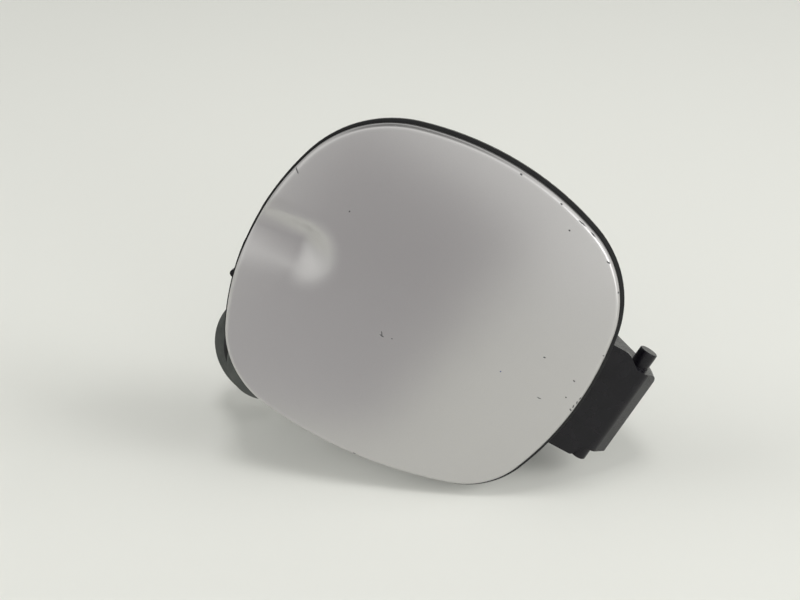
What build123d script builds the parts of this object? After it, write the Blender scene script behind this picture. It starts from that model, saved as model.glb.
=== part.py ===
from build123d import *
import os

os.makedirs("parts", exist_ok=True)

# Millimetres, +Z up. The hinge axis is the Z axis and the origin is the middle
# of the lower hinge pin. The painted face looks along -Y, and the door reaches
# from the hinge towards -X.

# Hinge pins and the width of the arm between them
PIN_R = 4.4
PIN_LENGTH = 8.5
PIN_CHAMFER = 0.4
ARM_WIDTH = 46.0
ARM_Z0 = PIN_LENGTH / 2
ARM_Z1 = ARM_Z0 + ARM_WIDTH
ARM_MID_Z = (ARM_Z0 + ARM_Z1) / 2

# Outline of the painted skin, seen from the front as (x, z)
TOP_HINGE = (-33.1, 86.9)
TOP_FREE = (-168.3, 91.5)
LOW_FREE = (-167.0, -43.4)
LOW_HINGE = (-34.4, -33.0)
HINGE_SIDE = (-20.9, 26.8)
TOP_SIDE = (-100.1, 106.2)
FREE_SIDE = (-187.0, 24.0)
LOW_SIDE = (-100.0, -49.2)
TOP_HINGE_R = 51.0
TOP_FREE_R = 53.0
LOW_FREE_R = 42.0
LOW_HINGE_R = 36.0

# Painted skin: a pressed sheet with a slight crown and a turned edge
CROWN_R = 1200.0
CROWN_X = -104.5
CROWN_Z = 27.8
FACE_APEX = -26.0
SHEET = 0.9
EDGE_R = 2.0
INNER_BEVEL = 0.9
FLANGE_END = -19.0
FAR_FRONT = -40.0

# Finger scoop pressed into the free edge
SCOOP_Z = 27.4
SCOOP_TIP_X = -150.5
SCOOP_HALF = 15.2
SCOOP_TOP = -24.0
SCOOP_FLOOR = -18.2
SCOOP_FLOOR_HALF = 7.0
SCOOP_FLOOR_R = 4.0
SCOOP_LENGTH = 40.0

# Moulded inner panel behind the skin. Its lip stands out most at the top and the hinge side.
LIP_OVER = 1.65
LIP_SHIFT = (0.6, 0.2)
PANEL_GAP = 0.2
PANEL_WALL = 2.5
PANEL_FRONT = FLANGE_END + PANEL_GAP
PANEL_BACK = PANEL_FRONT + PANEL_WALL
POCKET_WALL = 2.0
LEDGE_HEIGHT = 2.0
LEDGE_WALL = 2.0
RIB_WALL = 2.0
RIB_HEIGHT = 4.5
RIB_BACK = PANEL_BACK + RIB_HEIGHT
RIB_INSET = 10.0
RIB_XS = [-98.0, -124.0]
RIB_ZS = [64.0, -12.0]
SHORT_RIB_Z = 48.0
RIB_SPACE = 1.0

# Studs of the skin and their push-on nuts
STUD_R = 2.0
STUD_HOLE_R = 2.3
STUD_OUT = 4.0
STUD_END = PANEL_BACK + STUD_OUT
NUT_R = 6.0
NUT_WALL = 0.8
NUT_COLLAR = 1.0
STUDS = [(-58.0, 80.0), (-150.0, 73.0), (-138.0, -24.0), (-60.0, -23.0)]

# Hinge arm: a gooseneck channel, its profile seen from above as (x, y)
ARM_WALL = 3.0
BAR_FRONT = -9.0
BAR_BEVEL_X = 2.5
BAR_BEVEL_R = 5.0
BAR_OUT_X = 10.1
BAR_FLAT = 1.0
BAR_BACK = 8.0
BAR_LEFT_X = -8.0
BAR_CORNER_R = 4.0
NECK_INNER = [(-17.0, 22.0), (-33.0, 22.0)]
NECK_OUTER = [(-10.7, 36.0), (-36.0, 36.0)]
NECK_INNER_R = 7.0
NECK_OUTER_R = 10.0
FOOT_X = -50.0
CHEEK_FOOT_X = -74.0
FLANGE_X = -82.0
FOOT_R = 3.0
PLATE_LEFT_X = -20.0
FLARE_END_X = -2.5
TOP_FLARE = 5.2
TOP_FLARE_X = -10.0
TOP_FLARE_R = 6.0
LOW_FLARE = 6.6
LOW_FLARE_X = -5.5
LOW_FLARE_R = 2.0
ARM_SCREW_X = -66.0
ARM_SCREW_OFFSET = 11.5

# Screws
SCREW_R = 2.4
SCREW_HOLE_R = 2.75
SCREW_REACH = 4.2
SCREW_HEAD_R = 5.0
SCREW_HEAD = 3.0
SMALL_HEAD_R = 4.0
SMALL_HEAD = 2.0
HEAD_BEVEL = 0.4
RECESS_HALF = 2.2
RECESS_WIDTH = 1.0
BOSS_R = 5.0
BOSS_HEIGHT = 2.6
TIP_SPACE = 0.2

# Latch tongue at the free edge
TONGUE_Z = 1.0
TONGUE_W = 3.6
TONGUE_TIP_X = -187.6
TONGUE_BASE_X0 = -181.0
TONGUE_BASE_X1 = -166.5
TONGUE_BASE_H = 13.0
TONGUE_BASE_R = 2.0
TONGUE_WALL = 3.0
TONGUE_SCREW_X = -172.5

# Rubber buffers
BUFFERS = [(-141.0, 90.0), (-84.0, -36.0)]
BUFFER_R = 5.0
BUFFER_HEIGHT = 5.5
BUFFER_BEVEL = 1.5
BUFFER_STEM_R = 2.5
BUFFER_STEM_OUT = 0.8

# Clearances
RUN_GAP = 0.05
FREE_GAP = 0.3

# Peg and link that carry the filler cap
CAP_X = -154.5
CAP_Z = -39.0
PEG_Z = 1.5
PEG_R = 3.0
PEG_HEAD_R = 6.0
PEG_HEAD = 1.8
PEG_HEAD_BEVEL = 0.8
PEG_BOSS_R = 6.5
PEG_BOSS_HEIGHT = 6.6
PEG_FLOOR = 0.5
EYE_R = 7.5
EYE_WALL = 3.8
LINK_W = 12.0
LINK_WALL = 3.0
LINK_BRIDGE = 4.0
RING_WIDTH = 5.0

# Filler cap, from its rim backwards
CAP_R = 31.0
CAP_RIM = 19.0
CAP_WALL = 2.5
CAP_DEPTH = 13.0
CAP_BEVEL = 2.2
CAP_ROOF = CAP_RIM + CAP_DEPTH
FLUTES = 18
FLUTE_R = 2.0
FLUTE_DEPTH = 0.9
RIM_BAND = 4.0
FLUTE_START = CAP_RIM + RIM_BAND
GRIP_BAR_L = 50.0
GRIP_BAR_W = 15.0
GRIP_BAR_HEIGHT = 4.5
GRIP_BAR_BEVEL = 1.5
GRIP_BAR_TURN = 20.0
GRIP_POST_R = 6.0
RING_TO_RIM = 1.8

# Filler cap, from its rim forwards
STEM_END = -7.0
STEM_R = 17.0
STEM_BORE_R = 13.0
BACK_BORE_R = 14.0
VALVE_ROOF = 10.0
VALVE_ROOF_WALL = 3.0
NECK_R = 20.0
SHOULDER_R = 21.4
SHOULDER_WALL = 2.8
COLLAR_R = CAP_R - CAP_WALL - FREE_GAP
COLLAR_WALL = 2.2
DRIVE_WALL = 3.0
SEAL_R = 22.5
SEAL_WALL = 3.0

# Torque ring of the cap
TORQUE_GAP = 0.2
TORQUE_WIDTH = 4.1
TORQUE_R = CAP_R - CAP_WALL - TORQUE_GAP
TORQUE_BORE_R = TORQUE_R - TORQUE_WIDTH
DRIVE_R = TORQUE_BORE_R - TORQUE_GAP
TORQUE_TEETH = 12
TORQUE_TOOTH_L = 3.0
TORQUE_TOOTH_W = 2.4
TORQUE_TOOTH_H = 1.2
TORQUE_STEP = 0.5

# Relief valve of the cap
SEAT_INSET = 3.0
SEAT_WALL = 3.0
SEAT_HOLE_R = 6.0
VALVE_R = 9.0
VALVE_WALL = 2.0
VALVE_POST_R = 2.5
VALVE_POST = 4.0
COIL_R = 5.0
COIL_WIRE = 1.0
COIL_TURNS = 3
COIL_GAP = 0.1


def side_circle(start, middle, end):
    # Centre and radius of the circle through three points of one side.
    ax, az = middle[0] - start[0], middle[1] - start[1]
    bx, bz = end[0] - start[0], end[1] - start[1]
    a2 = ax * ax + az * az
    b2 = bx * bx + bz * bz
    d = 2 * (ax * bz - az * bx)
    ux = (bz * a2 - az * b2) / d
    uz = (ax * b2 - bx * a2) / d
    return start[0] + ux, start[1] + uz, (ux * ux + uz * uz) ** 0.5


def meeting(one, two, near):
    # The crossing of two circles that lies nearest to a point.
    dx, dz = two[0] - one[0], two[1] - one[1]
    d = (dx * dx + dz * dz) ** 0.5
    along = (one[2] ** 2 - two[2] ** 2 + d * d) / (2 * d)
    across = (one[2] ** 2 - along * along) ** 0.5
    found = []
    for side in (-1, 1):
        x = one[0] + (dx * along - side * dz * across) / d
        z = one[1] + (dz * along + side * dx * across) / d
        found.append((x, z))
    return min(found, key=lambda p: (p[0] - near[0]) ** 2 + (p[1] - near[1]) ** 2)


def outline(grow):
    # Four bowed sides with rounded corners, moved outwards by grow.
    corners = [TOP_HINGE, TOP_FREE, LOW_FREE, LOW_HINGE]
    middles = [TOP_SIDE, FREE_SIDE, LOW_SIDE, HINGE_SIDE]
    radii = [TOP_HINGE_R, TOP_FREE_R, LOW_FREE_R, LOW_HINGE_R]
    sides = []
    for i in range(4):
        cx, cz, r = side_circle(corners[i], middles[i], corners[(i + 1) % 4])
        sides.append((cx, cz, r + grow))
    points = [meeting(sides[i - 1], sides[i], corners[i]) for i in range(4)]
    arcs = []
    for i in range(4):
        cx, cz, r = sides[i]
        out_x, out_z = middles[i][0] - cx, middles[i][1] - cz
        length = (out_x * out_x + out_z * out_z) ** 0.5
        middle = (cx + out_x * r / length, cz + out_z * r / length)
        arcs.append(ThreePointArc(points[i], middle, points[(i + 1) % 4]))
    shape = make_face(arcs)
    for point, radius in zip(points, radii):
        nearest = shape.vertices().sort_by_distance((point[0], point[1], 0))[0]
        shape = fillet(nearest, radius + grow)
    return shape


def slab(shape, y0, y1):
    return extrude(Plane.XZ.offset(-y0) * shape, amount=y1 - y0, dir=(0, 1, 0))


def rod(x, z, r, y0, y1):
    return slab(Pos(x, z) * Circle(r), y0, y1)


def tube(x, z, r_out, r_in, y0, y1):
    return slab(Pos(x, z) * (Circle(r_out) - Circle(r_in)), y0, y1)


def block(x0, x1, y0, y1, z0, z1):
    centre = Pos((x0 + x1) / 2, (y0 + y1) / 2, (z0 + z1) / 2)
    return centre * Box(x1 - x0, y1 - y0, z1 - z0)


def crowned(grow, inset, y_back):
    ball = Pos(CROWN_X, FACE_APEX + CROWN_R, CROWN_Z) * Sphere(CROWN_R - inset)
    return slab(outline(grow), FAR_FRONT, y_back) & ball


def front_edges(body):
    return body.faces().sort_by(Axis.Y)[0].edges()


def scoop(grow):
    # A trough that runs out of the free edge and ends in a half-round tip.
    slope = (SCOOP_HALF - SCOOP_FLOOR_HALF) / (SCOOP_FLOOR - SCOOP_TOP)
    lean = (1 + slope * slope) ** 0.5
    floor = SCOOP_FLOOR + grow
    floor_half = SCOOP_FLOOR_HALF + grow * (lean - slope)
    top_half = floor_half + slope * (floor - FAR_FRONT)
    section = make_face(
        Polyline(
            (-top_half, FAR_FRONT),
            (top_half, FAR_FRONT),
            (floor_half, floor),
            (-floor_half, floor),
            close=True,
        )
    )
    section = fillet(section.vertices().group_by(Axis.Y)[-1], SCOOP_FLOOR_R + grow)
    centre_x = SCOOP_TIP_X - SCOOP_HALF
    # Section x runs along world Z and section y along world Y.
    at = Plane(origin=(centre_x, 0, SCOOP_Z), x_dir=(0, 0, 1), z_dir=(-1, 0, 0))
    trough = extrude(at * section, amount=SCOOP_LENGTH)
    half = section & Pos(top_half, floor) * Rectangle(2 * top_half, 2 * (floor - FAR_FRONT))
    axis = Axis((centre_x, 0, SCOOP_Z), (0, 1, 0))
    tip = revolve(at * half, axis=axis, revolution_arc=180)
    return trough + tip


def beside(chain, gap):
    # An open chain of points moved sideways to its left by gap.
    moved = []
    for i in range(len(chain)):
        normals = []
        for start in (i - 1, i):
            if 0 <= start < len(chain) - 1:
                dx = chain[start + 1][0] - chain[start][0]
                dy = chain[start + 1][1] - chain[start][1]
                length = (dx * dx + dy * dy) ** 0.5
                normals.append((-dy / length, dx / length))
        first, last = normals[0], normals[-1]
        share = gap / (1 + first[0] * last[0] + first[1] * last[1])
        shift_x = (first[0] + last[0]) * share
        shift_y = (first[1] + last[1]) * share
        moved.append((chain[i][0] + shift_x, chain[i][1] + shift_y))
    return moved


def screw(x, z, y_seat, head_r, head):
    body = rod(x, z, SCREW_R, PANEL_BACK - SCREW_REACH, y_seat)
    cap = rod(x, z, head_r, y_seat, y_seat + head)
    cap = chamfer(cap.edges().group_by(Axis.Y)[-1], head * HEAD_BEVEL)
    half = RECESS_WIDTH / 2
    y0 = y_seat + head * HEAD_BEVEL
    y1 = y_seat + head
    cap -= block(x - RECESS_HALF, x + RECESS_HALF, y0, y1, z - half, z + half)
    cap -= block(x - half, x + half, y0, y1, z - RECESS_HALF, z + RECESS_HALF)
    return body + cap


def push_nut(x, z):
    # A thin disc with a raised collar that bites on the stud.
    collar_start = PANEL_BACK + NUT_WALL
    nut = tube(x, z, NUT_R, STUD_R, PANEL_BACK, collar_start)
    return nut + tube(x, z, STUD_R + NUT_COLLAR, STUD_R, collar_start, collar_start + NUT_WALL)


def buffer(x, z):
    # A rubber button whose stem is pushed into the inner panel.
    head = rod(x, z, BUFFER_R, PANEL_BACK, PANEL_BACK + BUFFER_HEIGHT)
    head = chamfer(head.edges().group_by(Axis.Y)[-1], BUFFER_BEVEL)
    return head + rod(x, z, BUFFER_STEM_R, PANEL_FRONT - BUFFER_STEM_OUT, PANEL_BACK)


# Places that several pieces share
arm_screw_points = []
for side in (-1, 1):
    arm_screw_points.append((ARM_SCREW_X, ARM_MID_Z + side * ARM_SCREW_OFFSET))
screw_points = arm_screw_points + [(TONGUE_SCREW_X, TONGUE_Z)]
flange_back = PANEL_BACK + ARM_WALL
tongue_back = PANEL_BACK + TONGUE_WALL

# Painted skin
hollow = crowned(-SHEET, SHEET, PANEL_BACK)
outer_panel = fillet(front_edges(crowned(0, 0, FLANGE_END)), EDGE_R)
outer_panel -= chamfer(front_edges(hollow), INNER_BEVEL)
outer_panel += scoop(SHEET) & crowned(0, 0, 0)
outer_panel -= scoop(0)
stud_limit = crowned(-RIB_INSET, SHEET / 2, 0)
for x, z in STUDS:
    outer_panel += rod(x, z, STUD_R, FAR_FRONT, STUD_END) & stud_limit

# Inner panel: plate with its lip, locating ledge, ribs, scoop pocket and bosses
ledge_out = -(SHEET + 2 * PANEL_GAP)
ledge_shape = outline(ledge_out) - outline(ledge_out - LEDGE_WALL)
ledge_front = PANEL_FRONT - LEDGE_HEIGHT
door_width = HINGE_SIDE[0] - FREE_SIDE[0]
rib_shape = Sketch()
for x in RIB_XS:
    rib_shape += Pos(x, CROWN_Z) * Rectangle(RIB_WALL, door_width)
for z in RIB_ZS:
    rib_shape += Pos(CROWN_X, z) * Rectangle(door_width, RIB_WALL)
rib_shape += Pos(RIB_XS[0] - door_width / 2, SHORT_RIB_Z) * Rectangle(door_width, RIB_WALL)
rib_shape &= outline(-RIB_INSET - RIB_WALL / 2)
rib_shape += outline(-RIB_INSET) - outline(-RIB_INSET - RIB_WALL)
ribs = slab(rib_shape, PANEL_BACK, RIB_BACK)
arm_low = ARM_Z0 - RIB_SPACE
arm_high = ARM_Z1 + RIB_SPACE
ribs -= block(FLANGE_X - RIB_SPACE, 0, PANEL_BACK, RIB_BACK, arm_low, arm_high)
tongue_low = TONGUE_Z - TONGUE_BASE_H / 2 - RIB_SPACE
tongue_high = TONGUE_Z + TONGUE_BASE_H / 2 + RIB_SPACE
tongue_end = TONGUE_BASE_X1 + RIB_SPACE
ribs -= block(TONGUE_TIP_X, tongue_end, PANEL_BACK, RIB_BACK, tongue_low, tongue_high)
for x, z in BUFFERS:
    ribs -= rod(x, z, BUFFER_R + RIB_SPACE, PANEL_BACK, RIB_BACK)
for x, z in STUDS:
    ribs -= rod(x, z, NUT_R + RIB_SPACE, PANEL_BACK, RIB_BACK)
lip_shape = Pos(*LIP_SHIFT) * outline(LIP_OVER)
pocket_limit = slab(lip_shape, PANEL_FRONT, 0)
pocket_limit += slab(outline(ledge_out), ledge_front, PANEL_FRONT)
inner_panel = slab(lip_shape, PANEL_FRONT, PANEL_BACK)
inner_panel += slab(ledge_shape, ledge_front, PANEL_FRONT)
inner_panel += ribs
inner_panel += scoop(SHEET + PANEL_GAP + POCKET_WALL) & pocket_limit
peg_boss_back = PANEL_BACK + PEG_BOSS_HEIGHT
inner_panel += rod(CAP_X, PEG_Z, PEG_BOSS_R, PANEL_FRONT, peg_boss_back)
for x, z in screw_points:
    inner_panel += rod(x, z, BOSS_R, PANEL_FRONT - BOSS_HEIGHT, PANEL_FRONT)
inner_panel -= scoop(SHEET + PANEL_GAP)
inner_panel -= rod(CAP_X, PEG_Z, PEG_R, PANEL_FRONT + PEG_FLOOR, peg_boss_back)
for x, z in screw_points:
    inner_panel -= rod(x, z, SCREW_R, PANEL_BACK - SCREW_REACH - TIP_SPACE, PANEL_BACK)
for x, z in STUDS:
    inner_panel -= rod(x, z, STUD_HOLE_R, ledge_front, PANEL_BACK)
for x, z in BUFFERS:
    inner_panel -= rod(x, z, BUFFER_STEM_R, ledge_front, PANEL_BACK)

# Hinge arm: end cheeks and a middle rib behind one bent web
front_chain = [
    (FLANGE_X, PANEL_BACK),
    (FOOT_X, PANEL_BACK),
    NECK_INNER[1],
    NECK_INNER[0],
    (NECK_INNER[0][0], BAR_FRONT),
    (FLARE_END_X, BAR_FRONT),
]
back_chain = beside(front_chain, ARM_WALL)
back_chain.reverse()
bar_points = [(BAR_BEVEL_X, BAR_FRONT), (BAR_OUT_X, -BAR_FLAT), (BAR_OUT_X, BAR_FLAT)]
foot_points = [(CHEEK_FOOT_X, flange_back), (FLANGE_X, flange_back)]
cheek_points = front_chain[:-1] + bar_points + NECK_OUTER + foot_points
neck_radii = [0, FOOT_R, NECK_INNER_R, NECK_INNER_R, 0]
cheek_radii = neck_radii + [BAR_BEVEL_R, 0, 0, NECK_OUTER_R, NECK_OUTER_R, 0, 0]
back_radii = [0, 0, NECK_INNER_R + ARM_WALL, NECK_INNER_R + ARM_WALL, 0, 0]
cheek_face = make_face(FilletPolyline(*cheek_points, radius=cheek_radii, close=True))
web_radii = neck_radii + [0] + back_radii
web_face = make_face(FilletPolyline(*front_chain, *back_chain, radius=web_radii, close=True))
bar_middle = Pos((BAR_LEFT_X + BAR_OUT_X) / 2, (BAR_FRONT + BAR_BACK) / 2)
bar_face = cheek_face & bar_middle * Rectangle(BAR_OUT_X - BAR_LEFT_X, BAR_BACK - BAR_FRONT)
hinge_arm = Pos(0, 0, ARM_Z0) * extrude(web_face + bar_face, amount=ARM_WIDTH)
for z in (ARM_Z0, ARM_MID_Z - ARM_WALL / 2, ARM_Z1 - ARM_WALL):
    hinge_arm += Pos(0, 0, z) * extrude(cheek_face, amount=ARM_WALL)
# Front plate, flared beside each pin, with a free edge behind the panel's lip
plate_points = [
    (PLATE_LEFT_X, ARM_Z0 - LOW_FLARE),
    (LOW_FLARE_X, ARM_Z0 - LOW_FLARE),
    (FLARE_END_X, ARM_Z0),
    (FLARE_END_X, ARM_Z1),
    (TOP_FLARE_X, ARM_Z1 + TOP_FLARE),
    (PLATE_LEFT_X, ARM_Z1 + TOP_FLARE),
]
plate_radii = [0, LOW_FLARE_R, 0, 0, TOP_FLARE_R, 0]
plate = make_face(FilletPolyline(*plate_points, radius=plate_radii, close=True))
hinge_arm += slab(plate, BAR_FRONT, BAR_FRONT + ARM_WALL)
corner_x = BAR_OUT_X - BAR_CORNER_R
corner_z = ARM_Z1 - BAR_CORNER_R
corner_back = NECK_OUTER[0][1]
corner = block(corner_x, BAR_OUT_X, BAR_FRONT, corner_back, corner_z, ARM_Z1)
hinge_arm -= corner - rod(corner_x, corner_z, BAR_CORNER_R, BAR_FRONT, corner_back)
pins = Pos(0, 0, ARM_MID_Z) * Cylinder(PIN_R, ARM_WIDTH + 2 * PIN_LENGTH)
hinge_arm += chamfer(pins.edges().filter_by(GeomType.CIRCLE), PIN_CHAMFER)
for x, z in arm_screw_points:
    hinge_arm -= rod(x, z, SCREW_HOLE_R, PANEL_BACK, flange_back)

# Latch tongue with a rounded nose
base_x = (TONGUE_BASE_X0 + TONGUE_BASE_X1) / 2
base_length = TONGUE_BASE_X1 - TONGUE_BASE_X0
nose_x = TONGUE_TIP_X + TONGUE_W / 2
nose_length = base_x - nose_x
tongue_shape = Pos(base_x, TONGUE_Z) * RectangleRounded(base_length, TONGUE_BASE_H, TONGUE_BASE_R)
tongue_shape += Pos(nose_x + nose_length / 2, TONGUE_Z) * Rectangle(nose_length, TONGUE_W)
tongue_shape += Pos(nose_x, TONGUE_Z) * Circle(TONGUE_W / 2)
latch_tongue = slab(tongue_shape, PANEL_BACK, tongue_back)
latch_tongue -= rod(TONGUE_SCREW_X, TONGUE_Z, SCREW_HOLE_R, PANEL_BACK, tongue_back)

# Peg: pressed into its boss, with a head that keeps the link on
eye_front = peg_boss_back + FREE_GAP
eye_back = eye_front + EYE_WALL
peg_head_front = eye_back + FREE_GAP
peg_head = rod(CAP_X, PEG_Z, PEG_HEAD_R, peg_head_front, peg_head_front + PEG_HEAD)
tether_peg = chamfer(peg_head.edges().group_by(Axis.Y)[-1], PEG_HEAD_BEVEL)
tether_peg += rod(CAP_X, PEG_Z, PEG_R, PANEL_FRONT + PEG_FLOOR + TIP_SPACE, peg_head_front)

# Link: an eye on the peg, a bridge backwards and a ring round the cap's neck
ring_back = CAP_RIM - RING_TO_RIM
ring_front = ring_back - LINK_WALL
ring_r = NECK_R + RING_WIDTH
bridge_z0 = CAP_Z + ring_r
bridge_z1 = bridge_z0 + LINK_BRIDGE
left = CAP_X - LINK_W / 2
right = CAP_X + LINK_W / 2
tether_link = rod(CAP_X, PEG_Z, EYE_R, eye_front, eye_back)
tether_link += block(left, right, eye_front, eye_back, bridge_z0, PEG_Z)
tether_link += block(left, right, eye_front, ring_back, bridge_z0, bridge_z1)
tether_link += rod(CAP_X, CAP_Z, ring_r, ring_front, ring_back)
tether_link += block(left, right, ring_front, ring_back, bridge_z0 - RING_WIDTH / 2, bridge_z1)
tether_link -= rod(CAP_X, CAP_Z, NECK_R + RUN_GAP, ring_front, ring_back)
tether_link -= rod(CAP_X, PEG_Z, PEG_R + RUN_GAP, eye_front, eye_back)

# Cap body: stem, shoulder, neck groove for the ring, collar and drive flange
shoulder_back = ring_front - FREE_GAP
shoulder_front = shoulder_back - SHOULDER_WALL
collar_front = ring_back + FREE_GAP
collar_back = collar_front + COLLAR_WALL
drive_back = collar_back + DRIVE_WALL
back_bore = VALVE_ROOF + VALVE_ROOF_WALL
cap_body = rod(CAP_X, CAP_Z, STEM_R, STEM_END, shoulder_front)
cap_body += rod(CAP_X, CAP_Z, SHOULDER_R, shoulder_front, shoulder_back)
cap_body += rod(CAP_X, CAP_Z, NECK_R, shoulder_back, collar_front)
cap_body += rod(CAP_X, CAP_Z, COLLAR_R, collar_front, collar_back)
cap_body += rod(CAP_X, CAP_Z, DRIVE_R, collar_back, drive_back)
cap_body -= rod(CAP_X, CAP_Z, STEM_BORE_R, STEM_END, VALVE_ROOF)
cap_body -= rod(CAP_X, CAP_Z, BACK_BORE_R, back_bore, drive_back)

seal_front = shoulder_front - SEAL_WALL
cap_seal = tube(CAP_X, CAP_Z, SEAL_R, STEM_R + RUN_GAP, seal_front, shoulder_front - RUN_GAP)

# Torque ring between the drive flange and the grip
torque_front = collar_back + TORQUE_GAP
torque_back = drive_back + TORQUE_STEP
tooth_r = (TORQUE_R + TORQUE_BORE_R) / 2
tooth = Rectangle(TORQUE_TOOTH_L, TORQUE_TOOTH_W)
tooth_shape = Sketch() + PolarLocations(tooth_r, TORQUE_TEETH) * tooth
cap_torque_ring = tube(CAP_X, CAP_Z, TORQUE_R, TORQUE_BORE_R, torque_front, torque_back)
cap_torque_ring += slab(Pos(CAP_X, CAP_Z) * tooth_shape, torque_back, torque_back + TORQUE_TOOTH_H)

# Grip shell with flutes, a hand bar and a post inside
cap_grip = rod(CAP_X, CAP_Z, CAP_R, CAP_RIM, CAP_ROOF)
cap_grip = chamfer(cap_grip.edges().group_by(Axis.Y)[-1], CAP_BEVEL)
flute_r = CAP_R + FLUTE_R - FLUTE_DEPTH
flute_shape = Sketch() + PolarLocations(flute_r, FLUTES) * Circle(FLUTE_R)
cap_grip -= slab(Pos(CAP_X, CAP_Z) * flute_shape, FLUTE_START, CAP_ROOF)
hand_shape = Pos(CAP_X, CAP_Z) * Rot(0, 0, GRIP_BAR_TURN) * SlotOverall(GRIP_BAR_L, GRIP_BAR_W)
hand_bar = slab(hand_shape, CAP_ROOF - CAP_WALL / 2, CAP_ROOF + GRIP_BAR_HEIGHT)
cap_grip += chamfer(hand_bar.edges().group_by(Axis.Y)[-1], GRIP_BAR_BEVEL)
cap_grip -= rod(CAP_X, CAP_Z, CAP_R - CAP_WALL, CAP_RIM, CAP_ROOF - CAP_WALL)
cap_grip += rod(CAP_X, CAP_Z, GRIP_POST_R, back_bore + TIP_SPACE, CAP_ROOF - CAP_WALL / 2)

# Relief valve inside the stem
seat_front = STEM_END + SEAT_INSET
seat_back = seat_front + SEAT_WALL
valve_back = seat_back + VALVE_WALL
valve_seat = tube(CAP_X, CAP_Z, STEM_BORE_R - RUN_GAP, SEAT_HOLE_R, seat_front, seat_back)
relief_valve = rod(CAP_X, CAP_Z, VALVE_R, seat_back + RUN_GAP, valve_back)
relief_valve += rod(CAP_X, CAP_Z, VALVE_POST_R, valve_back, valve_back + VALVE_POST)
coil_front = valve_back + COIL_GAP + COIL_WIRE / 2
coil_length = VALVE_ROOF - COIL_GAP - COIL_WIRE / 2 - coil_front
coil_path = Helix(coil_length / COIL_TURNS, coil_length, COIL_R)
coil_start = Plane(origin=coil_path @ 0, z_dir=coil_path % 0)
coil = sweep(coil_start * Rectangle(COIL_WIRE, COIL_WIRE), path=coil_path, is_frenet=True)
valve_spring = Pos(CAP_X, coil_front, CAP_Z) * Rot(-90, 0, 0) * coil

nodes = {
    "outer_panel": outer_panel,
    "inner_panel": inner_panel,
    "hinge_arm": hinge_arm,
    "latch_tongue": latch_tongue,
    "latch_screw": screw(TONGUE_SCREW_X, TONGUE_Z, tongue_back, SMALL_HEAD_R, SMALL_HEAD),
    "tether_peg": tether_peg,
    "tether_link": tether_link,
    "cap_grip": cap_grip,
    "cap_torque_ring": cap_torque_ring,
    "cap_body": cap_body,
    "cap_seal": cap_seal,
    "valve_seat": valve_seat,
    "relief_valve": relief_valve,
    "valve_spring": valve_spring,
}
for place, (x, z) in zip(("lower", "upper"), arm_screw_points):
    nodes["arm_screw_" + place] = screw(x, z, flange_back, SCREW_HEAD_R, SCREW_HEAD)
for place, (x, z) in zip(("top_hinge", "top_free", "low_free", "low_hinge"), STUDS):
    nodes["push_nut_" + place] = push_nut(x, z)
for place, (x, z) in zip(("upper", "lower"), BUFFERS):
    nodes["buffer_" + place] = buffer(x, z)

for name, shape in nodes.items():
    export_step(shape, "parts/" + name + ".step")
    print(name, len(shape.solids()), "solid", round(shape.volume), "mm3")
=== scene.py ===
# %% [markdown]
# # A car fuel door
# The hinge arm, the inner panel, the tether and the filler cap come from the CAD frame and stay where they
# are. This lesson adds what the frame can't show: a smooth painted skin, moulded and plated finishes, small
# wear marks, a screw thread, soft light and a camera. Sizes of the door, the table and the camera's place are
# in millimetres and turn into metres through MM. Lamps and the panel beside them are placed in metres.

# %% Load the frame
import math

import bmesh
import bpy
from mathutils import Matrix, Vector


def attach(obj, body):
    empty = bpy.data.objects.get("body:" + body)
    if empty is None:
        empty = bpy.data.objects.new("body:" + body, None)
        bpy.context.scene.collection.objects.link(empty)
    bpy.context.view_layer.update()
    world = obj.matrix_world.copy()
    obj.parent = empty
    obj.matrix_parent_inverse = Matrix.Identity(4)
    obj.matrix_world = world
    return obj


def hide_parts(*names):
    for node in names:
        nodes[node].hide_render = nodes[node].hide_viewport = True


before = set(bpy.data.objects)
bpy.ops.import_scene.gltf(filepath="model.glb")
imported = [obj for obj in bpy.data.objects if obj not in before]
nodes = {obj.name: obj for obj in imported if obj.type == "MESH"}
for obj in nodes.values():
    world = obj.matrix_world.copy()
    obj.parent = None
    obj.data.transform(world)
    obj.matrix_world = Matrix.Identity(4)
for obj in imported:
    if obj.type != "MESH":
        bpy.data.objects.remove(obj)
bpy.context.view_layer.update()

MM = 0.001

# %% [markdown]
# ## The outline of the door
# The door is a four-sided shape with bowed sides and large rounded corners. Each side is an arc through two
# corners and one middle point, and each corner is a smaller arc that touches both of its sides. Working with
# true arcs gives an exact outward direction everywhere, which the rolled edge needs later.

# %% Corners and arcs of the outline
CORNERS = [(-33.1, 86.9), (-168.3, 91.5), (-167.0, -43.4), (-34.4, -33.0)]
SIDE_MIDDLES = [(-100.1, 106.2), (-187.0, 24.0), (-100.0, -49.2), (-20.9, 26.8)]
CORNER_RADII = [51.0, 53.0, 42.0, 36.0]


def circle_through(a, b, c):
    bx, bz, cx, cz = b[0] - a[0], b[1] - a[1], c[0] - a[0], c[1] - a[1]
    twice = 2 * (bx * cz - bz * cx)
    x = (cz * (bx * bx + bz * bz) - bz * (cx * cx + cz * cz)) / twice
    z = (bx * (cx * cx + cz * cz) - cx * (bx * bx + bz * bz)) / twice
    return Vector((a[0] + x, a[1] + z)), math.hypot(x, z)


def circles_meet(centre_a, radius_a, centre_b, radius_b, near):
    across = centre_b - centre_a
    along = (radius_a**2 - radius_b**2 + across.length_squared) / (2 * across.length)
    side = across.orthogonal().normalized() * math.sqrt(radius_a**2 - along**2)
    middle = centre_a + across.normalized() * along
    return min(middle + side, middle - side, key=lambda point: (point - near).length)


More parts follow.
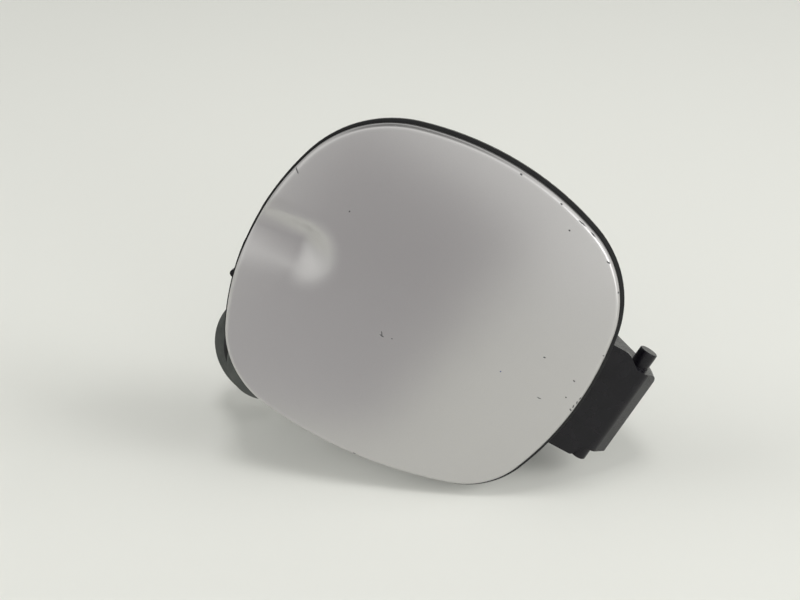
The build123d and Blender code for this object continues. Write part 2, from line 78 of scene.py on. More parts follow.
def arc_between(centre, radius, start, end):
    first = math.atan2(start.y - centre.y, start.x - centre.x)
    last = math.atan2(end.y - centre.y, end.x - centre.x)
    return centre, radius, first, (last - first) % math.tau


def outline_arcs():
    sides = []
    for i in range(4):
        sides.append(circle_through(CORNERS[i], SIDE_MIDDLES[i], CORNERS[(i + 1) % 4]))
    rounds = []
    for i, radius in enumerate(CORNER_RADII):
        (before, before_r), (after, after_r) = sides[i - 1], sides[i]
        centre = circles_meet(before, before_r - radius, after, after_r - radius, Vector(CORNERS[i]))
        start = before + (centre - before).normalized() * before_r
        end = after + (centre - after).normalized() * after_r
        rounds.append((centre, radius, start, end))
    arcs = []
    for i in range(4):
        arcs.append(arc_between(*rounds[i]))
        arcs.append(arc_between(*sides[i], rounds[i][3], rounds[(i + 1) % 4][2]))
    return arcs


def outline_stations(count):
    arcs = outline_arcs()
    total = sum(radius * sweep for centre, radius, first, sweep in arcs)
    stations = []
    for i in range(count):
        left = total * i / count
        for centre, radius, first, sweep in arcs:
            if left < radius * sweep:
                break
            left -= radius * sweep
        outward = Vector((math.cos(first + left / radius), math.sin(first + left / radius)))
        stations.append((centre + outward * radius, outward))
    return stations


print("outline length:", round(sum(arc[1] * arc[3] for arc in outline_arcs())), "mm")

# %% [markdown]
# ## The depth of the skin
# The pressed sheet is a little crowned, like a piece of a very large ball. A finger scoop is pressed into its
# free edge: a small floor, a short wall above it and a long easy wall below. Between the floor and the mouth
# lie rings whose middle and radius change evenly, so the wall height at a point is the share of the way from
# floor to mouth. Blends join floor, wall and face, because a press leaves no sharp line. Larger Y is deeper.

# %% Crown and finger scoop
CROWN_R = 1200.0
CROWN_CENTRE = Vector((-104.5, 27.8))
FACE_APEX = -26.0
SCOOP_TIP_X = -165.5
SCOOP_TOP = -24.2
SCOOP_FLOOR = -18.6
MOUTH_Z, MOUTH_R = 28.2, 14.8
FLOOR_Z, FLOOR_R = 31.0, 3.6
MOUTH_WIDENS = 0.09
FLOOR_DROPS = 0.14
FLOOR_SOFTNESS = 3.0
MOUTH_SOFTNESS = 2.6


def soft_max(one, two, softness):
    overlap = max(softness - abs(one - two), 0) / softness
    return max(one, two) + overlap * overlap * softness / 4


def face_depth(x, z):
    away = (Vector((x, z)) - CROWN_CENTRE).length
    return FACE_APEX + CROWN_R - math.sqrt(CROWN_R**2 - away**2)


def wall_share(x, z):
    along = max(SCOOP_TIP_X - x, 0)
    past_tip = max(x - SCOOP_TIP_X, 0)
    floor_z = FLOOR_Z - FLOOR_DROPS * along
    shift = MOUTH_Z - MOUTH_WIDENS * along - floor_z
    grow = MOUTH_R + MOUTH_WIDENS * along - FLOOR_R
    # The share s of the ring through this point solves a*s*s + 2*b*s = c.
    a = grow**2 - shift**2
    b = (z - floor_z) * shift + FLOOR_R * grow
    c = past_tip**2 + (z - floor_z)**2 - FLOOR_R**2
    return (math.sqrt(max(b * b + a * c, 0)) - b) / a


def skin_depth(x, z):
    wall = SCOOP_FLOOR + (SCOOP_TOP - SCOOP_FLOOR) * wall_share(x, z)
    trough = -soft_max(-SCOOP_FLOOR, -wall, FLOOR_SOFTNESS)
    return soft_max(face_depth(x, z), trough, MOUTH_SOFTNESS)


scoop_spot = (-175.0, FLOOR_Z)
print("scoop is", round(skin_depth(*scoop_spot) - face_depth(*scoop_spot), 1), "mm deep")

# %% [markdown]
# ## The painted skin
# A flat disc would be easy to fill, but its faces would not follow the edge. Spinning one spoke makes a disc
# of rings, and each ring is then moved to its own line on the door: rings near the middle shrink the outline,
# rings near the rim keep an even distance from it, and the last rings roll over the edge and run back as a
# flange. Where the scoop runs out through the edge, the roll gets tight.

# %% Rings of the skin
STEPS = 520
SHEET = 0.9
EDGE_R = 2.0
EDGE_START = 0.07
FLANGE_END = -19.0
SCOOP_EDGE_R = 0.45
SCOOP_FLANGE = 0.35
TIGHT_EDGE_DEPTH = 4.0
EVEN_INSET = 30.0
FINE_RINGS = 30
MIDDLE_RINGS = 14
CENTRE_RINGS = 12
FINE_SHARE = 0.3
ROLL_RINGS = 8
FLANGE_RINGS = 2


def shrink_shares():
    shares = []
    for k in range(CENTRE_RINGS):
        shares.append((1 - FINE_SHARE) * k / CENTRE_RINGS)
    for k in range(MIDDLE_RINGS):
        shares.append(1 - FINE_SHARE + FINE_SHARE * k / MIDDLE_RINGS)
    return shares


def spoke_points(rim, outward):
    points = []
    inner = rim - outward * EVEN_INSET
    for share in shrink_shares():
        spot = CROWN_CENTRE.lerp(inner, share)
        points.append(Vector((spot.x, skin_depth(*spot), spot.y)))
    pressed = min(max(skin_depth(*rim) - face_depth(*rim), 0) / TIGHT_EDGE_DEPTH, 1)
    roll = EDGE_R + (SCOOP_EDGE_R - EDGE_R) * pressed
    last_inset = roll * (1 - math.sin(EDGE_START))
    for k in range(FINE_RINGS + 1):
        inset = EVEN_INSET + (last_inset - EVEN_INSET) * k / FINE_RINGS
        spot = rim - outward * inset
        points.append(Vector((spot.x, skin_depth(*spot), spot.y)))
    top = points[-1].y + roll * math.cos(EDGE_START)
    for k in range(1, ROLL_RINGS + 1):
        turn = EDGE_START + (math.pi / 2 - EDGE_START) * k / ROLL_RINGS
        spot = rim - outward * roll * (1 - math.sin(turn))
        points.append(Vector((spot.x, top - roll * math.cos(turn), spot.y)))
    end = max(FLANGE_END, top + SCOOP_FLANGE)
    for k in range(1, FLANGE_RINGS + 1):
        points.append(Vector((rim.x, top + (end - top) * k / FLANGE_RINGS, rim.y)))
    return points


RING_COUNT = CENTRE_RINGS + MIDDLE_RINGS + FINE_RINGS + 1 + ROLL_RINGS + FLANGE_RINGS
print("rings:", RING_COUNT, "steps:", STEPS)

# %% [markdown]
# The spin gives every ring the same number of points, one on each spoke, so the angle and the radius of a
# point tell which spoke and ring it belongs to. Its new place is read from that spoke. A Solidify modifier
# then gives the sheet its thickness towards the inside, which leaves the front where it is.

# %% Spin the disc and move its rings into place


def finish_piece(name, mesh, body, smooth=True):
    data = bpy.data.meshes.new(name)
    mesh.to_mesh(data)
    mesh.free()
    for face in data.polygons:
        face.use_smooth = smooth
    piece = bpy.data.objects.new(name, data)
    bpy.context.scene.collection.objects.link(piece)
    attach(piece, body)
    print(name, len(data.polygons), "faces")
    return piece


def spun_disc(rings, steps):
    mesh = bmesh.new()
    spoke = [mesh.verts.new((k + 1, 0, 0)) for k in range(rings)]
    edges = [mesh.edges.new(pair) for pair in zip(spoke, spoke[1:])]
    bmesh.ops.spin(mesh, geom=spoke + edges, cent=(0, 0, 0), axis=(0, -1, 0),
                   angle=math.tau, steps=steps, use_merge=True)
    return mesh


def shaped_skin():
    mesh = spun_disc(RING_COUNT, STEPS)
    spokes = [spoke_points(rim, outward) for rim, outward in outline_stations(STEPS)]
    middle = []
    for vertex in mesh.verts:
        ring = round(math.hypot(vertex.co.x, vertex.co.z)) - 1
        step = round(math.atan2(vertex.co.z, vertex.co.x) / math.tau * STEPS) % STEPS
        vertex.co = spokes[step][ring] * MM
        if ring == 0:
            middle.append(vertex)
    bmesh.ops.pointmerge(mesh, verts=middle, merge_co=middle[0].co)
    bmesh.ops.recalc_face_normals(mesh, faces=mesh.faces)
    mesh.faces.ensure_lookup_table()
    nearest = min(mesh.faces, key=lambda face: (face.calc_center_median().xz - CROWN_CENTRE * MM).length)
    if nearest.normal.y > 0:
        bmesh.ops.reverse_faces(mesh, faces=mesh.faces)
    return mesh


skin = finish_piece("door_skin", shaped_skin(), "door")
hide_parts("outer_panel")
wall = skin.modifiers.new("sheet", "SOLIDIFY")
wall.thickness = SHEET * MM
wall.offset = -1

# %% [markdown]
# ## Weld studs behind the skin
# Four studs stand on the back of the skin and pass through the inner panel, where push-on nuts hold them.
# Only their ends can be seen. Each is a short rod with a bevelled tip.

# %% Studs
STUDS = [(-58.0, 80.0), (-150.0, 73.0), (-138.0, -24.0), (-60.0, -23.0)]
STUD_R = 2.0
STUD_END = -12.3
STUD_TIP = 0.5
SAME_PLACE = 1e-6


def add_rod(mesh, x, z, radius, y0, y1, sides=32):
    turn = Matrix.Rotation(-math.pi / 2, 4, "X")
    place = Matrix.Translation(Vector((x, (y0 + y1) / 2, z)) * MM) @ turn
    made = bmesh.ops.create_cone(mesh, cap_ends=True, segments=sides, radius1=radius * MM,
                                 radius2=radius * MM, depth=(y1 - y0) * MM, matrix=place)
    return made["verts"]


def bevel_end(mesh, verts, y, width, segments=2):
    tips = {vertex for vertex in verts if abs(vertex.co.y - y * MM) < SAME_PLACE}
    rim = [edge for edge in mesh.edges if edge.verts[0] in tips and edge.verts[1] in tips]
    bmesh.ops.bevel(mesh, geom=rim, offset=width * MM, offset_type="OFFSET", segments=segments,
                    profile=0.5, affect="EDGES", material=-1)


stud_mesh = bmesh.new()
for x, z in STUDS:
    stud = add_rod(stud_mesh, x, z, STUD_R, face_depth(x, z) + SHEET / 2, STUD_END)
    bevel_end(stud_mesh, stud, STUD_END, STUD_TIP)
finish_piece("skin_studs", stud_mesh, "door", smooth=False)

# %% [markdown]
# ## The thread of the cap
# The stem of the filler cap carries a coarse thread. One small four-sided face is spun round the cap's axis,
# and each step also moves it along the axis, which gives a helix. Its crest then fades out at both ends.

# %% Thread
CAP_AXIS = Vector((-154.5, 0.0, -39.0))
THREAD_ROOT, THREAD_CREST = 16.7, 18.6
THREAD_FOOT_HALF, THREAD_CREST_HALF = 1.7, 0.7
THREAD_START = -4.6
THREAD_PITCH = 4.6
THREAD_TURNS = 2
THREAD_STEPS = 72
THREAD_FADE = 0.12


def turns_at(place):
    # The angle gives the part of a turn, and the place along the axis tells which turn it belongs to.
    angle = math.atan2(place.z / MM - CAP_AXIS.z, place.x / MM - CAP_AXIS.x) / math.tau
    return angle + round((place.y / MM - THREAD_START) / THREAD_PITCH - angle)


thread_mesh = bmesh.new()
section = [(THREAD_ROOT, -THREAD_FOOT_HALF), (THREAD_CREST, -THREAD_CREST_HALF),
           (THREAD_CREST, THREAD_CREST_HALF), (THREAD_ROOT, THREAD_FOOT_HALF)]
corners = [thread_mesh.verts.new((CAP_AXIS + Vector((r, THREAD_START + y, 0))) * MM) for r, y in section]
first = thread_mesh.faces.new(corners)
bmesh.ops.spin(thread_mesh, geom=[first, *first.edges, *corners], cent=CAP_AXIS * MM, axis=(0, -1, 0),
               dvec=(0, THREAD_PITCH / THREAD_STEPS * MM, 0), angle=math.tau * THREAD_TURNS,
               steps=THREAD_STEPS * THREAD_TURNS)
bmesh.ops.holes_fill(thread_mesh, edges=thread_mesh.edges)
for vertex in thread_mesh.verts:
    turns = turns_at(vertex.co)
    fade = min(turns / THREAD_FADE, (THREAD_TURNS - turns) / THREAD_FADE, 1)
    axis_point = Vector((CAP_AXIS.x * MM, vertex.co.y, CAP_AXIS.z * MM))
    radius = (vertex.co - axis_point).length
    low = THREAD_ROOT * MM
    vertex.co = axis_point + (vertex.co - axis_point) / radius * (low + (radius - low) * max(fade, 0))
bmesh.ops.recalc_face_normals(thread_mesh, faces=thread_mesh.faces)
finish_piece("cap_thread", thread_mesh, "cap", smooth=False)

# %% [markdown]
# ## Tools for the finishes
# Every finish is made of nodes that read Object coordinates, so a pattern stays on its piece in every pose.
# These helpers keep the recipes short: a grain of a given size, a range, a mix of two colours and a bump. A
# Mix node holds one set of sockets for each kind of value, and the numbers below are those of the colours.

# %% Node helpers
PLAIN_SHINE = 0.3
MIX_FIRST, MIX_SECOND, MIX_RESULT = 6, 7, 2


def start_finish(name, rough, metal=0.0):
    material = bpy.data.materials.new(name)
    material.use_nodes = True
    surface = material.node_tree.nodes["Principled BSDF"]
    surface.inputs["Roughness"].default_value = rough
    surface.inputs["Metallic"].default_value = metal
    surface.inputs["Specular IOR Level"].default_value = PLAIN_SHINE
    return material, material.node_tree, surface


def grain(tree, size, detail=2.0, distortion=0.0):
    place = tree.nodes.new("ShaderNodeTexCoord")
    noise = tree.nodes.new("ShaderNodeTexNoise")
    noise.inputs["Scale"].default_value = 1 / (size * MM)
    noise.inputs["Detail"].default_value = detail
    noise.inputs["Distortion"].default_value = distortion
    tree.links.new(place.outputs["Object"], noise.inputs["Vector"])
    return noise.outputs["Fac"]


def ranged(tree, value, low, high, to_low, to_high):
    node = tree.nodes.new("ShaderNodeMapRange")
    node.interpolation_type = "SMOOTHSTEP"
    for socket, number in zip(("From Min", "From Max", "To Min", "To Max"), (low, high, to_low, to_high)):
        node.inputs[socket].default_value = number
    tree.links.new(value, node.inputs["Value"])
    return node.outputs["Result"]


def mixed(tree, share, first, second):
    node = tree.nodes.new("ShaderNodeMix")
    node.data_type = "RGBA"
    tree.links.new(share, node.inputs["Factor"])
    for socket, colour in ((node.inputs[MIX_FIRST], first), (node.inputs[MIX_SECOND], second)):
        if isinstance(colour, bpy.types.NodeSocket):
            tree.links.new(colour, socket)
        else:
            socket.default_value = (*colour, 1)
    return node.outputs[MIX_RESULT]


def maths(tree, operation, first, second):
    node = tree.nodes.new("ShaderNodeMath")
    node.operation = operation
    for socket, value in zip(node.inputs, (first, second)):
        if isinstance(value, bpy.types.NodeSocket):
            tree.links.new(value, socket)
        else:
            socket.default_value = value
    return node.outputs["Value"]


def bumped(tree, surface, height, depth, strength=1.0):
    node = tree.nodes.new("ShaderNodeBump")
    node.inputs["Distance"].default_value = depth * MM
    node.inputs["Strength"].default_value = strength
    tree.links.new(height, node.inputs["Height"])
    tree.links.new(node.outputs["Normal"], surface.inputs["Normal"])


def dress(material, *names):
    for name in names:
        piece = bpy.data.objects[name]
        piece.data.materials.clear()
        piece.data.materials.append(material)
    print(material.name, "on", ", ".join(names))


# %% [markdown]
# ## Silver paint
# Metallic paint is fine flakes of metal under a clear coat. A metallic surface with a fairly rough lobe gives
# the wide soft sheen, a very fine grain stands for the flakes, and a thin smooth coat lies on top. Chips and
# scratches are small ovals, each with a place, a half length, a half width and a direction on the face. A
# grain shifts the place that the ovals are measured from, which makes their edges ragged.

# %% Wear marks on the face
CHIPS = [
    (-180.5, 59.5, 2.0, 0.35, -40), (-152.7, 55.3, 0.45, 0.45, 0), (-114.1, 12.3, 1.5, 0.45, -6),
    (-114.6, 13.3, 1.4, 0.4, -53), (-109.4, 13.4, 0.5, 0.3, 15), (-97.2, 104.6, 0.7, 0.5, -15),
    (-67.4, 94.0, 0.6, 0.45, -15), (-45.6, 90.0, 1.1, 0.4, -5), (-34.4, 80.6, 0.7, 0.4, -33),
    (-46.4, 39.4, 0.8, 0.4, 10), (-29.0, 36.0, 0.8, 0.4, -17), (-27.8, 27.3, 0.6, 0.35, 0),
    (-38.1, 21.1, 1.4, 0.28, 1), (-21.8, 29.8, 0.9, 0.4, -80), (-22.1, 27.4, 1.0, 0.4, -70),
    (-22.5, 25.0, 1.0, 0.4, -75), (-22.6, 22.9, 1.0, 0.45, -30), (-24.2, 52.7, 0.5, 0.4, -17),
    (-76.2, 102.0, 0.8, 0.35, -20), (-64.3, 99.2, 2.6, 0.3, -12), (-57.6, 97.2, 1.8, 0.3, -19),
    (-129.9, -49.6, 1.8, 0.4, -5), (-97.1, -48.0, 1.0, 0.4, 0),
]
BLUE_DOT = (-59.8, 23.9, 0.5, 0.4, 0)
CHIP_EDGE = 0.55
CHIP_RAGGED = 0.5
MARK_REACH = 1e3


def mark_mask(tree, place, mark):
    x, z, half_length, half_width, degrees = mark
    frame_of_mark = tree.nodes.new("ShaderNodeMapping")
    frame_of_mark.vector_type = "TEXTURE"
    frame_of_mark.inputs["Location"].default_value = Vector((x, 0, z)) * MM
    frame_of_mark.inputs["Rotation"].default_value = (0, -math.radians(degrees), 0)
    frame_of_mark.inputs["Scale"].default_value = Vector((half_length * MM, MARK_REACH, half_width * MM))
    away = tree.nodes.new("ShaderNodeVectorMath")
    away.operation = "LENGTH"
    tree.links.new(place, frame_of_mark.inputs["Vector"])
    tree.links.new(frame_of_mark.outputs["Vector"], away.inputs[0])
    return ranged(tree, away.outputs["Value"], CHIP_EDGE, 1.0, 1.0, 0.0)


def ragged_place(tree):
    place = tree.nodes.new("ShaderNodeTexCoord")
    noise = tree.nodes.new("ShaderNodeTexNoise")
    noise.inputs["Scale"].default_value = 1 / (CHIP_RAGGED * MM)
    centred = tree.nodes.new("ShaderNodeVectorMath")
    centred.operation = "MULTIPLY_ADD"
    centred.inputs[1].default_value = (CHIP_RAGGED * MM,) * 3
    tree.links.new(place.outputs["Object"], noise.inputs["Vector"])
    tree.links.new(noise.outputs["Color"], centred.inputs[0])
    tree.links.new(place.outputs["Object"], centred.inputs[2])
    shifted = tree.nodes.new("ShaderNodeVectorMath")
    shifted.operation = "SUBTRACT"
    shifted.inputs[1].default_value = (CHIP_RAGGED * MM / 2,) * 3
    tree.links.new(centred.outputs["Vector"], shifted.inputs[0])
    return shifted.outputs["Vector"]


print("wear marks:", len(CHIPS), "chips and scratches, 1 stain")

# %% [markdown]
# A mark shows the primer below the paint: darker, far less metallic and rougher. All marks are joined by
# taking the largest of their masks, so nothing doubles where two overlap, and the same mask lowers the
# surface as a bump. One blue dot is only a stain on the paint.

# %% Mix the paint
FLAKE_SIZE = 0.25
FLAKE_TONE, FLAKE_BASE = 0.6, 0.2
FLAKE_BUMP = 0.04
CLOUD_SIZE = 60.0
CLOUD_SPAN = (0.3, 0.7)
SILVER_DARK = (0.50, 0.49, 0.49)
SILVER_LIGHT = (0.60, 0.59, 0.585)
PRIMER = (0.10, 0.10, 0.105)
BLUE_MARK = (0.12, 0.13, 0.26)
PAINT_METAL, CHIP_METAL = 0.92, 0.1
PAINT_ROUGH = (0.285, 0.315)
CHIP_ROUGHER = 0.3
CHIP_DEPTH = 0.12
COAT_WEIGHT, COAT_ROUGH = 0.12, 0.08

silver, tree, surface = start_finish("silver_metallic_paint", PAINT_ROUGH[0], PAINT_METAL)
surface.inputs["Coat Weight"].default_value = COAT_WEIGHT
surface.inputs["Coat Roughness"].default_value = COAT_ROUGH
flake = grain(tree, FLAKE_SIZE, detail=1.0)
cloud = grain(tree, CLOUD_SIZE, detail=1.0)
tone = maths(tree, "MULTIPLY_ADD", flake, FLAKE_TONE)
tone.node.inputs[2].default_value = FLAKE_BASE
paint = mixed(tree, tone, SILVER_DARK, SILVER_LIGHT)
place = ragged_place(tree)
chipped = mark_mask(tree, place, CHIPS[0])
for chip in CHIPS[1:]:
    chipped = maths(tree, "MAXIMUM", chipped, mark_mask(tree, place, chip))
blue = mark_mask(tree, place, BLUE_DOT)
paint = mixed(tree, blue, mixed(tree, chipped, paint, PRIMER), BLUE_MARK)
tree.links.new(paint, surface.inputs["Base Color"])
tree.links.new(ranged(tree, chipped, 0, 1, PAINT_METAL, CHIP_METAL), surface.inputs["Metallic"])
cloudy = ranged(tree, cloud, *CLOUD_SPAN, *PAINT_ROUGH)
rough = maths(tree, "ADD", cloudy, ranged(tree, chipped, 0, 1, 0, CHIP_ROUGHER))
tree.links.new(rough, surface.inputs["Roughness"])
relief = maths(tree, "SUBTRACT", maths(tree, "MULTIPLY", flake, FLAKE_BUMP), chipped)
bumped(tree, surface, relief, CHIP_DEPTH)
dress(silver, "door_skin")

# %% [markdown]
# ## Moulded plastics
# The inner panel, the hinge arm, the tether and the cap are black mouldings, yet not the same black. One
# recipe serves them all: two close dark tones mixed by a cloudy grain, a roughness that wanders a little, and
# a fine moulded texture as bump. A Bevel node softens the edges that the mould would round.

# %% One recipe for every moulding
MOULD_ROUND = 0.35
MOULD_CLOUD = 9.0
GRAIN_SHARE = 0.35
WANDER_SPAN = (0.25, 0.75)
SMOOTHER, ROUGHER = 0.05, 0.06


def moulded(name, dark, light, rough, texture, depth, cloud_size=MOULD_CLOUD):
    material, tree, surface = start_finish(name, rough)
    cloud = grain(tree, cloud_size, detail=4.0, distortion=0.4)
    skin_grain = grain(tree, texture)
    tone = maths(tree, "MULTIPLY_ADD", skin_grain, GRAIN_SHARE)
    tree.links.new(ranged(tree, cloud, *CLOUD_SPAN, 0, 1 - GRAIN_SHARE), tone.node.inputs[2])
    tree.links.new(mixed(tree, tone, dark, light), surface.inputs["Base Color"])
    wander = ranged(tree, cloud, *WANDER_SPAN, rough - SMOOTHER, rough + ROUGHER)
    tree.links.new(wander, surface.inputs["Roughness"])
    bumped(tree, surface, skin_grain, depth)
    rounded = tree.nodes.new("ShaderNodeBevel")
    rounded.inputs["Radius"].default_value = MOULD_ROUND * MM
    tree.links.new(rounded.outputs["Normal"], surface.inputs["Normal"].links[0].from_node.inputs["Normal"])
    return material


panel_plastic = moulded("panel_moulding", (0.008, 0.008, 0.009), (0.018, 0.018, 0.018),
                        rough=0.48, texture=0.45, depth=0.05)
arm_plastic = moulded("arm_moulding", (0.003, 0.003, 0.005), (0.008, 0.007, 0.010),
                      rough=0.25, texture=0.35, depth=0.03)
cap_plastic = moulded("cap_moulding", (0.074, 0.080, 0.074), (0.118, 0.126, 0.118),
                      rough=0.55, texture=0.4, depth=0.04)
tether_plastic = moulded("tether_moulding", (0.022, 0.022, 0.024), (0.038, 0.038, 0.040),
                         rough=0.46, texture=0.5, depth=0.03)
dress(panel_plastic, "inner_panel")
dress(arm_plastic, "hinge_arm", "latch_tongue", "tether_peg")
dress(cap_plastic, "cap_grip", "cap_body", "cap_thread")
dress(tether_plastic, "tether_link", "cap_torque_ring", "valve_seat", "relief_valve")

# %% [markdown]
# ## Rubber and plated steel
# The buffers and the seal are soft rubber with a dusty, uneven black. Screws, push-on nuts, studs and the
# valve's spring are plated steel: metal with a cloudy bloom that makes some spots duller than others.

# %% Rubber and steel
rubber = moulded("soft_rubber", (0.016, 0.016, 0.016), (0.030, 0.030, 0.029),
                 rough=0.72, texture=0.25, depth=0.03, cloud_size=5.0)
dress(rubber, "buffer_upper", "buffer_lower", "cap_seal")

ZINC_DULL = (0.36, 0.36, 0.35)
ZINC_BRIGHT = (0.60, 0.60, 0.58)
ZINC_ROUGH = (0.46, 0.27)
BLOOM_SIZE = 2.2
ZINC_GRAIN, ZINC_GRAIN_DEPTH = 0.3, 0.02
steel, tree, surface = start_finish("plated_steel", ZINC_ROUGH[0], metal=1.0)
bloom = grain(tree, BLOOM_SIZE, detail=4.0, distortion=0.8)
zinc = mixed(tree, ranged(tree, bloom, *CLOUD_SPAN, 0, 1), ZINC_DULL, ZINC_BRIGHT)
tree.links.new(zinc, surface.inputs["Base Color"])
tree.links.new(ranged(tree, bloom, *WANDER_SPAN, *ZINC_ROUGH), surface.inputs["Roughness"])
bumped(tree, surface, grain(tree, ZINC_GRAIN), ZINC_GRAIN_DEPTH)
nuts = [name for name in nodes if name.startswith("push_nut")]
screws = [name for name in nodes if name.endswith("screw") or "_screw_" in name]
dress(steel, "skin_studs", "valve_spring", *nuts, *screws)

# %% [markdown]
# ## The table, the light and the camera
# The door lies tilted over a pale table, so in the door's own frame it is the table that leans. It passes a
# few millimetres below the lowest point of the door. From below it lets the view through, so the back of the
# door can still be seen.

# %% Table
TABLE_UP = Vector((-0.4349, -0.2704, 0.8589)).normalized()
TABLE_LEVEL = -12.5
TABLE_HALF = 3000.0
TABLE_COLOUR = (0.76, 0.765, 0.72)
TABLE_ROUGH, TABLE_SHINE = 0.6, 0.15

table_mesh = bmesh.new()
stand = TABLE_UP.to_track_quat("Z", "Y").to_matrix().to_4x4()
foot = Matrix.Translation((CROWN_CENTRE.x * MM, 0, 0))
drop = (TABLE_LEVEL * MM - TABLE_UP.dot(foot.translation)) * TABLE_UP
bmesh.ops.create_grid(table_mesh, x_segments=1, y_segments=1, size=TABLE_HALF * MM,
                      matrix=Matrix.Translation(drop) @ foot @ stand)
table_data = bpy.data.meshes.new("table")
table_mesh.to_mesh(table_data)
table_mesh.free()
table = bpy.data.objects.new("table", table_data)
bpy.context.scene.collection.objects.link(table)

table_paint, tree, surface = start_finish("pale_table", TABLE_ROUGH)
surface.inputs["Base Color"].default_value = (*TABLE_COLOUR, 1)
surface.inputs["Specular IOR Level"].default_value = TABLE_SHINE
seen_from = tree.nodes.new("ShaderNodeNewGeometry")
clear = tree.nodes.new("ShaderNodeBsdfTransparent")
either = tree.nodes.new("ShaderNodeMixShader")
tree.links.new(seen_from.outputs["Backfacing"], either.inputs["Fac"])
tree.links.new(surface.outputs["BSDF"], either.inputs[1])
tree.links.new(clear.outputs["BSDF"], either.inputs[2])
tree.links.new(either.outputs["Shader"], tree.nodes["Material Output"].inputs["Surface"])
dress(table_paint, "table")

# %% [markdown]
# The room is a pale dome: bright at wall height, dim at the roof, a little stronger on the right and weaker
# on the far side. Silver paint shows this dome like a blurred mirror, so its levels shape the face. Matt
# surfaces get a smaller share of it, which keeps the shadows of the lamps clear. Two level directions, one
# towards the viewer and one to the viewer's right, say where things stand round the door.

# %% Pale dome
DOME_COLOUR = (0.98, 0.98, 0.955)
HORIZON_LEVEL, WALL_LEVEL = 0.76, 1.0
WALLS_RISE = (0.12, 0.5)
ROOF_SHARE = 0.2
ROOF_RISE = (0.65, 0.95)
LEFT_SHARE, RIGHT_SHARE = 1.0, 1.2
LEFT_TO_RIGHT = (-0.45, 0.35)
FAR_SHARE, NEAR_SHARE = 0.6, 1.0
FAR_TO_NEAR = (-0.6, 0.2)
MATT_SHARE = 0.72
VIEW_SIDE = Vector((0.2067, -0.9584, -0.1971))
VIEW_RIGHT = Vector((0.87645, 0.09184, 0.47269))


def measured_along(tree, coordinate, way):
    place = tree.nodes.new("ShaderNodeTexCoord")
    node = tree.nodes.new("ShaderNodeVectorMath")
    node.operation = "DOT_PRODUCT"
    node.inputs[1].default_value = way
    tree.links.new(place.outputs[coordinate], node.inputs[0])
    return node.outputs["Value"]


world = bpy.data.worlds.new("studio")
bpy.context.scene.world = world
world.use_nodes = True
tree = world.node_tree
background = tree.nodes["Background"]
background.inputs["Color"].default_value = (*DOME_COLOUR, 1)
height = measured_along(tree, "Generated", TABLE_UP)
rightward = measured_along(tree, "Generated", VIEW_RIGHT)
nearness = measured_along(tree, "Generated", VIEW_SIDE)
walls = ranged(tree, height, *WALLS_RISE, HORIZON_LEVEL, WALL_LEVEL)
roof = ranged(tree, height, *ROOF_RISE, 1, ROOF_SHARE)
sides = ranged(tree, rightward, *LEFT_TO_RIGHT, LEFT_SHARE, RIGHT_SHARE)
depth = ranged(tree, nearness, *FAR_TO_NEAR, FAR_SHARE, NEAR_SHARE)
ray = tree.nodes.new("ShaderNodeLightPath")
seen = maths(tree, "MAXIMUM", ray.outputs["Is Camera Ray"], ray.outputs["Is Glossy Ray"])
strength = walls
for share in (roof, sides, depth, ranged(tree, seen, 0, 1, MATT_SHARE, 1)):
    strength = maths(tree, "MULTIPLY", strength, share)
tree.links.new(strength, background.inputs["Strength"])
print("dome: horizon", HORIZON_LEVEL, "walls", WALL_LEVEL, "roof", WALL_LEVEL * ROOF_SHARE)

# %% [markdown]
# Three lamps light the table and draw the shadow under the door: one close above, and one large and far on
# each side. They are hidden from reflections, because a lamp mirrored in the paint would be a hard white
# patch. A fourth stands low at the front right and may show in the gloss, where it picks out the rolled edge
# and the arm. Each has a name, its distances to the right, towards the viewer and up, a size and a power.

# %% Lamps
LAMP_AIM = Vector((-0.105, 0.0, 0.03))
TABLE_LAMPS = [("top", 0.0, -0.02, 1.1, 0.3, 2.8), ("left", -3.0, -0.2, 1.5, 1.8, 36.0),
               ("right", 3.0, 0.3, 1.5, 1.8, 64.0)]
EDGE_LAMP = ("edge", 0.75, 1.0, 0.32, 0.5, 2.0)


def soft_lamp(name, right, toward_viewer, height, size, watts):
    lamp = bpy.data.lights.new(name, "AREA")
    lamp.shape = "SQUARE"
    lamp.size = size
    lamp.energy = watts
    lamp_object = bpy.data.objects.new(name, lamp)
    place = VIEW_RIGHT * right + VIEW_SIDE * toward_viewer + TABLE_UP * height
    lamp_object.location = LAMP_AIM + place
    lamp_object.rotation_mode = "QUATERNION"
    lamp_object.rotation_quaternion = (-place).to_track_quat("-Z", "Y")
    lamp_object.visible_camera = False
    bpy.context.scene.collection.objects.link(lamp_object)
    print("lamp", name, "at", round(place.length, 2), "m")
    return lamp_object


for lamp in TABLE_LAMPS:
    soft_lamp(*lamp).visible_glossy = False
soft_lamp(*EDGE_LAMP)

# %% [markdown]
# A dim panel stands in front of the face, a little to the left, and shows only in reflections. It is no lamp
# and nothing in the room: its glow is a painted reflection, which darkens the silver paint and gives it its
# slow change from dark to light.

# %% Panel that paints a darker reflection into the silver paint
FACE_MIDDLE = Vector((-0.105, -0.02, 0.03))
PANEL_PLACE = (-0.075, 0.12, -0.005)
PANEL_SIZE = (0.205, 0.29)
PANEL_LEAN = math.radians(34)
PANEL_FADE = 0.05
# Glow colours of the painted reflection in the silver paint: lighter at the foot, darker at the top.
PAINTED_REFLECTION_TOP = (0.40, 0.385, 0.39)
PAINTED_REFLECTION_FOOT = (0.57, 0.56, 0.56)

